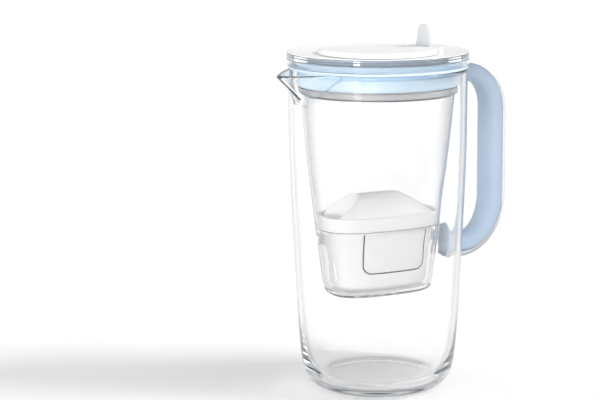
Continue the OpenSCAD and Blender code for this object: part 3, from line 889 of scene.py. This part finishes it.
# painted shade: the faces in the groove between the collar's beads get the slightly darker blue
lower.data.materials.append(M_GROOVE_SHADE)
for f in lower.data.polygons:
    if 263.3 * MM < f.center.z < 264.25 * MM:
        f.material_index = 1
done(lower, "funnel", "collar_blue", "lower_seal_collar")
upper = revolve("collar_upper_ring", densify(fillet(
    [(63.5, 269.2, 0.2), (66.9, 269.2, 0.5), (67.0, 271.4, 1.2), (66.8, 273.2, 0.8), (65.6, 274.1, 0.7), (63.5, 274.1, 0.2)],
    5), 3), M_COLLAR, 288)
done(upper, "funnel", "collar_blue", "upper_seal_collar")

# ---------------------------------------------------------------- cartridge
RA, RB = 50.7, 30.1


U_SHIFT = 3.0


def u_distance(x, z):
    """Distance from the U-shaped panel line on a broad face."""
    hw, zb, r = 28.0, 99.8, 7.5
    ax = np.abs(x)
    d_side = np.where(z > zb + r, np.abs(ax - hw), 1e9)
    d_side = np.where(z > 132.0, np.hypot(ax - hw, z - 132.0), d_side)
    d_bot = np.where(ax < hw - r, np.abs(z - zb), 1e9)
    cx, cz = hw - r, zb + r
    d_arc = np.where((ax >= hw - r) & (z <= zb + r), np.abs(np.hypot(ax - cx, z - cz) - r), 1e9)
    return np.minimum(np.minimum(d_side, d_bot), d_arc)


def make_cup():
    M = 520
    t = oval_t(43, 26, 2.7, M)
    st = []
    for f in (0.3, 0.6, 0.85):
        st.append((37.4 * f, 21.2 * f, 2.7, 86.05))
    for q in np.linspace(0, 90, 10):
        s, c = math.sin(math.radians(q)), math.cos(math.radians(q))
        st.append((37.4 + 3.6 * s, 21.2 + 3.3 * s, 2.7, 90.2 - 4.15 * c))
    zw = np.concatenate([np.arange(91.5, 99.5, 1.0), np.arange(99.5, 103.4, 0.28), np.arange(103.4, 110, 0.6),
                         np.arange(110, 134.4, 1.2)])
    for z in zw:
        f = (z - 90.2) / (134.9 - 90.2)
        st.append((41.0 + 4.25 * f, 24.5 + 3.1 * f, 2.7, z))
    rimp = fillet([(-5.4, 134.6, 0), (-5.4, 135.5, 0.45), (0, 135.5, 0.7), (0, 147, 0.8), (-1.8, 147, 0.6),
                   (-1.8, 142.4, 0.5), (-6.9, 142.4, 0.7), (-6.9, 139, 0)], 4, closed=False)
    rimp = densify(rimp, 2.5, closed=False)
    for d, z in rimp:
        st.append((RA + d, RB + d * (0.46 if d < -4 and z < 138 else (0.56 if z < 142.3 and d < -4 else 1.0)), 2.7, z))
    for z in (134, 125, 116, 107, 98, 93):
        f = (z - 90.2) / (134.9 - 90.2)
        st.append((41.0 + 4.25 * f - 1.5, 24.5 + 3.1 * f - 1.5, 2.7, z))
    for q in np.linspace(90, 0, 7):
        s, c = math.sin(math.radians(q)), math.cos(math.radians(q))
        st.append((36.6 + 3.0 * s, 20.2 + 2.8 * s, 2.7, 91.0 - 3.0 * c))
    for f in (0.8, 0.5, 0.25):
        st.append((36.6 * f, 20.2 * f, 2.7, 88.0))
    rings = np.array(oval_rings(st, M, t))
    # groove of the bare panel on both broad faces, and slots at both ends, pressed into the outer wall
    for i, (a, b, n, z) in enumerate(st):
        outer = i < 3 + 10 + len(zw)
        if not outer or z < 88:
            continue
        x, y = rings[i][:, 0], rings[i][:, 1]
        xs_ = x + U_SHIFT * np.sign(y)
        d = u_distance(xs_, z)
        on = np.abs(y) > b * 0.55
        depth = np.where(on, 0.35 * np.exp(-(d / 0.9) ** 2), 0)
        # the panel inside the U lies a little lower than the wall round it
        inside = on & (np.abs(xs_) < 28.0) & (z > 99.8) & (z < 134)
        dd = np.where(inside, np.clip(u_distance(xs_, z) / 1.4, 0, 1), 0)
        depth = np.maximum(depth, 0.22 * dd)
        end = np.abs(x) > a * 0.80
        sd = np.minimum(np.abs(y - 6), np.abs(y + 6))
        zz = np.clip(np.minimum(z - 92.5, 109.5 - z) / 0.8, 0, 1)
        sdep = np.where(end, 1.2 * np.exp(-(sd / 0.75) ** 4), 0) * zz
        rings[i][:, 1] -= np.sign(y) * depth
        rings[i][:, 0] -= np.sign(x) * sdep
    rings = turned(rings)
    V, F = skin(rings, pole0=(0, 0, 86.05), pole1=(0, 0, 88.0))
    ob = make("cartridge_cup_body", V, F, M_CART, 50)
    cuts = []
    for x in (-20, -10, 0, 10, 20):
        p = turned(np.array([[x, 0, 80.0], [x, 0, 92.0]]))
        cuts.append(tube_obj(p[0], p[1], 2.0, 32))
    # the panel's line is a narrow slot, cut to an even depth in both broad faces; the slot's faces take the near-black
    # cutter material, painted shade for the slot's depth
    hw, zb, r, g = 28.0, 99.8, 7.5, 0.55
    path = [(-hw, 133.6), (-hw, zb + r)]
    path += [(-hw + r - r * math.cos(q), zb + r - r * math.sin(q)) for q in np.linspace(0, math.pi / 2, 12)[1:-1]]
    path += [(-hw + r, zb)] + [(x, zb) for x in np.linspace(-hw + r, hw - r, 14)[1:-1]] + [(hw - r, zb)]
    path += [(hw - r + r * math.sin(q), zb + r - r * math.cos(q)) for q in np.linspace(0, math.pi / 2, 12)[1:-1]]
    path += [(hw, zb + r), (hw, 133.6)]
    path = np.array(path)
    tan = np.gradient(path, axis=0)
    tan /= np.linalg.norm(tan, axis=1)[:, None]
    nor = np.column_stack([-tan[:, 1], tan[:, 0]])
    for s_ in (-1, 1):
        sect = []
        for (px_, pz_), (nx_, nz_) in zip(path, nor):
            f = (pz_ - 90.2) / (134.9 - 90.2)
            a_, b_ = 41.0 + 4.25 * f, 24.5 + 3.1 * f
            ring_ = []
            for o_, dep in ((g, 3.0), (-g, 3.0), (-g, -1.25), (g, -1.25)):
                x_ = px_ + nx_ * o_ - U_SHIFT * s_
                ys = b_ * (1 - min(0.999, abs(px_ - U_SHIFT * s_) / a_) ** 2.7) ** (1 / 2.7)
                ring_.append((x_, s_ * (ys + dep), pz_ + nz_ * o_))
            sect.append(ring_)
        sect = turned(np.array(sect))
        V2, F2 = skin(sect)
        n2 = len(sect)
        F2.append((0, 1, 2, 3))
        F2.append(tuple((n2 - 1) * 4 + q for q in (3, 2, 1, 0)))
        cuts.append(make("cutter", V2, F2, M_SLOT_SHADE, 0))
    return boolean(ob, cuts)


cup = done(make_cup(), "cartridge", "cartridge_white", "cartridge_cup")


def cap_height(x, y):
    """Top of the cap over the oval plate."""
    ax = np.abs(x)
    ridge = 163.0 - 0.0 * ax
    slope = softplus(ax - 22.5, 3.0) * 0.60
    top = ridge - slope
    bx = 27.4 * (1 - (np.clip(ax / 47.0, 0, 0.999)) ** 2.9) ** (1 / 2.9)
    bx = np.maximum(bx, 1.0)
    v = np.clip(np.abs(y) / bx, 0, 1)
    fall = (1 - v ** 2.1) ** 0.72
    # a narrow flat ridge with flanks that run down to the rim
    dome = 144.4 + (top - 144.4) * (0.10 + 0.90 * fall)
    dome = np.where(v >= 0.999, 144.4, dome)
    d = np.hypot((ax - 49.0) / 21.0, y / 15.5)
    sc = 144.4 + softplus(d - 1.0, 0.035) * 40.0
    k = 1.3
    h = np.clip(0.5 + 0.5 * (sc - dome) / k, 0, 1)
    return dome * h + sc * (1 - h) - k * h * (1 - h)


def make_cap():
    M, R = 420, 96
    A, B, n = RA - 2.1, RB - 2.1, 2.7
    t = oval_t(A, B, n, M)
    ex, ey = sel(A, B, n, t)
    top, bot = [], []
    rho = (np.linspace(0, 1, R + 1)[1:]) ** 0.85
    e = 0.25
    for q in rho:
        x, y = ex * q, ey * q
        k = min(q, 0.985) / q
        z = cap_height(x * k, y * k)
        gx = (cap_height(x * k + e, y * k) - cap_height(x * k - e, y * k)) / (2 * e)
        gy = (cap_height(x * k, y * k + e) - cap_height(x * k, y * k - e)) / (2 * e)
        edge = np.clip((q - 0.965) / 0.03, 0, 1)
        z = z * (1 - edge) + 144.2 * edge
        top.append(np.column_stack([x, y, z]))
        low = np.maximum(142.5, z - 1.5 * np.sqrt(1 + np.minimum(gx**2 + gy**2, 9.0)))
        low = low * (1 - edge) + 142.5 * edge
        bot.append(np.column_stack([x, y, low]))
    side = [np.column_stack([ex * k, ey * k, np.full(M, z)]) for k, z in ((1.0, 144.0), (1.0, 142.8), (0.997, 142.5))]
    rings = top[:-1] + [np.column_stack([ex * 0.996, ey * 0.996, np.full(M, 144.2)])] + side + bot[::-1][1:]
    rings = turned(rings)
    c = cap_height(np.zeros(1), np.zeros(1))[0]
    V, F = skin(rings, pole0=(0, 0, c), pole1=(0, 0, c - 1.5))
    ob = make("cartridge_cap_body", V, F, M_CART, 50)
    cuts = []
    for s in (-1, 1):
        for i in range(4):
            x0, x1 = sorted((s * 36.9, s * 43.9))
            cuts.append(box_obj((x0, -6.9 + i * 4.6 - 0.85, 139), (x1, -6.9 + i * 4.6 + 0.85, 147), TURN))
    return boolean(ob, cuts)


cap = done(make_cap(), "cartridge", "cartridge_white", "cartridge_cap")

# ---------------------------------------------------------------- lid
LZ = 280.4
HX, HZ = 44.5, 280.35


def make_lid():
    prof = fillet([(44.0, 276.4, 0.4), (71.6, 276.4, 0.3), (71.6, 279.55, 0.2), (74.6, 279.75, 0.2), (75.0, 280.0, 0.2),
                   (74.7, 280.36, 0.2), (73.6, 280.38, 0.3), (66, 279.2, 6), (58, 278.4, 6), (51.5, 278.02, 4),
                   (44.5, 277.9, 0.5), (44.0, 277.5, 0.3)], 5)
    ob = revolve("lid_disc", densify(prof, 4.0), M_LID, 320)
    ringp = fillet([(58.4, 270.4, 0.4), (60.2, 270.4, 0.5), (60.7, 271.2, 0.6), (60.7, 277.0, 0), (58.4, 277.0, 0)], 4)
    skirt = revolve("cutter", densify(ringp, 3.0), None, 320)
    ears = []
    for s in (-1, 1):
        y0, y1 = sorted((s * 22.6, s * 26.8))
        ears.append(tube_obj((HX, y0, HZ), (HX, y1, HZ), 2.3, 48, rnd=0.35))
        ears.append(box_obj((HX - 2.28, y0 + 0.25, 277.0), (HX + 2.28, y1 - 0.25, HZ)))
    boolean(ob, [skirt] + ears, "UNION")
    # room for the tail of the flap
    wedge = []
    th = np.radians(np.linspace(-32, 32, 65))
    outer = [(50.4 * math.cos(a), 50.4 * math.sin(a)) for a in th if abs(50.4 * math.sin(a)) <= 22.3]
    ya = 22.3
    pts = [(30, -ya), (math.sqrt(50.4**2 - ya**2), -ya)] + outer + [(math.sqrt(50.4**2 - ya**2), ya), (30, ya)]
    rr = [[(x, y, z) for x, y in pts] for z in (270.0, 290.0)]
    V, F = skin(rr)
    n = len(pts)
    F.append(tuple(range(n)))
    F.append(tuple(range(2 * n - 1, n - 1, -1)))
    tool = make("cutter", V, F, None, 0)
    bore = tube_obj((HX, -26.45, HZ), (HX, 26.45, HZ), 1.02, 40)
    boolean(ob, [tool, bore])
    ob.data.materials.clear()
    ob.data.materials.append(M_LID)
    return ob


lid = done(make_lid(), "lid", "lid_white", "lid_top")

ring = revolve("lid_clear_skirt", densify(fillet(
    [(73.4, 269.6, 0.5), (74.6, 269.6, 0.6), (75.0, 270.6, 0.6), (75.0, 274.6, 0.2), (74.75, 274.8, 0.1), (74.75, 275.0, 0.1),
     (75.0, 275.25, 0.3), (75.0, 277.2, 0.2), (74.6, 277.45, 0.1), (74.6, 277.65, 0.1), (75.0, 277.9, 0.2), (75.0, 279.3, 0.4),
     (74.5, 279.65, 0.3), (71.8, 279.45, 0.3), (71.8, 275.0, 0.4), (73.4, 274.2, 0.5)], 4), 3.5), M_RING, 320)
# painted shade: faces above z 275 take the dark band material, standing in for the shaded gap under the lid
ring.data.materials.append(M_BAND_SHADE)
for f in ring.data.polygons:
    if f.center.z > 275.0 * MM:
        f.material_index = 1
done(ring, "lid", "lid_clear", "lid_clear_ring")


def make_flap():
    z0 = 278.3
    prof = [(0, z0)] + fillet([(0, z0, 0), (49.0, z0, 0.5), (49.5, z0 + 1.8, 1.6), (48.2, z0 + 4.0, 1.5), (46.4, z0 + 4.1, 2.0),
                               (42.5, z0 + 3.45, 6), (30, z0 + 3.15, 12), (0, z0 + 2.95, 0)], 6, closed=False)[1:-1] + [(0, z0 + 2.95)]
    prof = [prof[0]] + densify(prof[1:-1], 4.0, closed=False) + [prof[-1]]
    prof.insert(1, (6.0, z0))
    prof.insert(-1, (6.0, z0 + 2.96))
    ob = revolve("filling_flap_disc", prof, M_LID, 320)
    cuts = []
    for s in (-1, 1):
        y0, y1 = sorted((s * 22.3, s * 42.3))
        cuts.append(box_obj((HX - 2.9, y0, 270), (HX + 2.9, y1, 290)))
    cuts.append(tube_obj((HX, -30, HZ), (HX, 30, HZ), 1.05, 40))
    cuts.append(box_obj((44.3, -8.5, z0 + 3.65), (46.5, 8.5, z0 + 5)))
    return boolean(ob, cuts)


flap = done(make_flap(), "flap", "lid_white", "filling_flap")


def make_tab():
    """Upright thumb tab: a tapered plate with a round top and fine ribs up and down."""
    z0, H = 282.42, 17.9
    X = 45.4
    w0, w1 = 10.5, 8.1
    rows = []
    U = 121
    ts = np.linspace(0, 1, 61) ** 0.9
    for i, f in enumerate(ts):
        z = z0 + H * f
        # half width at this height
        k = 0.58
        if f <= k:
            w = w0 + (w1 - w0) * (f / k) ** 1.15
        else:
            g = (f - k) / (1 - k)
            w = w1 * max(0.0, 1 - g ** 2.5) ** (1 / 2.5)
        w = max(w, 0.25)
        thick = 1.62 * min(1.0, (max(0.0, (1 - f)) * 9) ** 0.5 + 0.12)
        u = np.linspace(-1, 1, U)
        y = np.sin(u * math.pi / 2) * w
        rib = 0.26 * (0.5 + 0.5 * np.cos(2 * math.pi * y / 2.25)) * np.clip((w - np.abs(y)) / 1.2, 0, 1) * min(1, (1 - f) * 6)
        edge = np.sqrt(np.clip(1 - np.clip((np.abs(y) - (w - 1.3)) / 1.3, 0, 1) ** 2, 0, 1))
        tx = (thick - 0.26 + rib) * np.maximum(edge, 0.04)
        front = np.column_stack([X - tx, y, np.full(U, z)])
        back = np.column_stack([X + tx, y, np.full(U, z)])[::-1]
        rows.append(np.vstack([front, back]))
    V, F = skin(rows)
    M = 2 * U
    for k in (0, len(rows) - 1):
        for j in range(U - 1):
            F.append((k * M + j, k * M + j + 1, k * M + M - 2 - j, k * M + M - 1 - j))
    ob = make("thumb_tab_plate", V, F, M_TAB, 50)
    foot = box_obj((44.5, -8.2, 281.97), (46.3, 8.2, 282.6))
    boolean(ob, [foot], "UNION")
    ob.data.materials.clear()
    ob.data.materials.append(M_TAB)
    return ob


tab = done(make_tab(), "flap", "tab_grey", "thumb_tab")

pin = tube_obj((HX, -26.5, HZ), (HX, 26.5, HZ), 1.0, 40, "hinge_pin_rod", rnd=0.2)
pin.data.materials.append(M_PIN)
done(pin, "lid", "pin_grey", "hinge_pin")

for node, mat in (("upper_bond_pad", M_BOND), ("lower_bond_pad", M_BOND), ("inlet_screen", M_SCREEN),
                  ("outlet_screen", M_SCREEN), ("filter_media", M_MEDIA)):
    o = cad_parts[node]
    if not o.data.materials:
        o.data.materials.append(mat)
    for i in range(len(o.material_slots)):
        o.material_slots[i].link = "OBJECT"
        o.material_slots[i].material = mat

for o in (lower, upper, ring, lid, flap):
    weighted(o)

# ---------------------------------------------------------------- stage, light
def floor_mat():
    m, nt, b, out = new_mat("floor_pale_mat")
    co = N(nt, "ShaderNodeTexCoord").outputs["Object"]
    n = noise(nt, co, 3.0, 2.0)
    far = N(nt, "ShaderNodeVectorMath", operation="LENGTH")
    nt.links.new(co, far.inputs[0])
    d = rng(nt, far.outputs["Value"], 0.0, 1.0, 0.5, 3.2)
    spots = ramp(nt, n, [(0.3, (0.985, 0.985, 0.985)), (0.7, (1.0, 1.0, 1.0))])
    # painted shade: the floor is darker near the object and paler far off, evening out the extra light that the nearby
    # lamps throw on the near floor
    shade = ramp(nt, d, [(0.0, (0.83, 0.83, 0.832)), (0.35, (0.895, 0.895, 0.897)), (1.0, (0.985, 0.985, 0.985))])
    nt.links.new(mixc(nt, 1.0, shade, spots, "MULTIPLY"), b.inputs["Base Color"])
    nt.links.new(rng(nt, n, 0.85, 0.95), b.inputs["Roughness"])
    b.inputs["Specular IOR Level"].default_value = 0.0
    return m


fm = floor_mat()
bm = bmesh.new()
bmesh.ops.create_circle(bm, cap_ends=True, segments=96, radius=40.0)
fme = bpy.data.meshes.new("floor")
bm.to_mesh(fme)
bm.free()
fme.materials.append(fm)
floor = bpy.data.objects.new("floor", fme)
floor.location = (0, 0, -0.0002)
scene.collection.objects.link(floor)

w = bpy.data.worlds.new("studio")
scene.world = w
w.use_nodes = True
wn = w.node_tree
bg = wn.nodes["Background"]
wco = N(wn, "ShaderNodeTexCoord")
wsp = N(wn, "ShaderNodeSeparateXYZ")
wn.links.new(wco.outputs["Generated"], wsp.inputs[0])
wn.links.new(ramp(wn, wsp.outputs[2], [(0.0, (0.86, 0.865, 0.875)), (0.20, (0.90, 0.905, 0.915)),
                                       (0.55, (0.96, 0.965, 0.975)), (1.0, (1.0, 1.0, 1.0))]), bg.inputs["Color"])
bg.inputs["Strength"].default_value = 0.64
w.cycles.sampling_method = "NONE"


def area(name, az, el, dist, sx, sy, power, target=(0, 0, 0.15), color=(1, 1, 1)):
    d = bpy.data.lights.new(name, "AREA")
    d.shape = "RECTANGLE"
    d.size, d.size_y, d.energy = sx, sy, power
    d.color = color
    o = bpy.data.objects.new(name, d)
    scene.collection.objects.link(o)
    t = Vector(target)
    o.location = t + world_dir(az, el) * dist
    o.rotation_euler = (t - o.location).to_track_quat("-Z", "Y").to_euler()
    o.visible_camera = False
    o.visible_transmission = False
    return o


def low_strip(name, az, r0, r1, width, radiance):
    """Long light that lies along the table, aimed up: upright gloss shows it as a vertical streak."""
    d = bpy.data.lights.new(name, "AREA")
    d.shape = "RECTANGLE"
    d.size, d.size_y = width, r1 - r0
    d.energy = radiance * math.pi * width * (r1 - r0)
    o = bpy.data.objects.new(name, d)
    scene.collection.objects.link(o)
    u = world_dir(az, 0)
    o.location = u * ((r0 + r1) / 2) + Vector((0, 0, 0.012))
    x = u.cross(Vector((0, 0, 1))).normalized()
    o.rotation_euler = Matrix((x, -u, Vector((0, 0, -1)))).transposed().to_euler()
    if (o.rotation_euler.to_matrix() @ Vector((0, 0, -1))).z < 0:
        o.rotation_euler = Matrix((x, u, Vector((0, 0, -1)))).transposed().to_euler()
    o.visible_camera = False
    o.visible_transmission = False
    return o


low_strip("streak_left", -25.5, 2.42, 2.95, 0.36, 11.0)
low_strip("streak_left_low", -25.5, 1.60, 2.40, 0.30, 3.0)
low_strip("streak_right", 112, 2.40, 2.95, 1.3, 3.6)
low_strip("streak_far_left", -112, 2.40, 2.95, 1.3, 3.6)
fill = area("front_fill", -20, 11, 2.2, 1.6, 1.0, 37)
fill.visible_glossy = False
# the front light reaches the cartridge through the clear walls
through = bpy.data.collections.new("clear_walls")
fill.light_linking.blocker_collection = through
for o in (jug, funnel):
    through.objects.link(o)
for co_ in through.collection_objects:
    co_.light_linking.link_state = "EXCLUDE"
right_box = area("right_box", 100, 38, 1.9, 0.60, 0.9, 1)
right_box.visible_glossy = False
area("left_box", -118, 34, 2.4, 0.9, 1.6, 8)


def sun(name, az, el, strength, angle):
    d = bpy.data.lights.new(name, "SUN")
    d.energy, d.angle = strength, math.radians(angle)
    o = bpy.data.objects.new(name, d)
    scene.collection.objects.link(o)
    o.rotation_euler = (-world_dir(az, el)).to_track_quat("-Z", "Y").to_euler()
    o.visible_transmission = False
    return o


sun("soft_sun", 86, 38, 0.40, 22)
# most of the key light spares the grip, the collars and the cartridge, which stay evenly lit
key = sun("key_sun", 86, 38, 1.90, 22)
lit = bpy.data.collections.new("key_lit")
key.light_linking.receiver_collection = lit
for o in (handle, upper, lower, cup, cap):
    lit.objects.link(o)
for co_ in lit.collection_objects:
    co_.light_linking.link_state = "EXCLUDE"

scene.view_settings.view_transform = "Standard"
scene.view_settings.look = "None"
scene.view_settings.exposure = 0.0
scene.cycles.max_bounces = 32
scene.cycles.transmission_bounces = 32
scene.cycles.glossy_bounces = 16
scene.cycles.transparent_max_bounces = 32
scene.cycles.caustics_reflective = False
scene.cycles.caustics_refractive = True
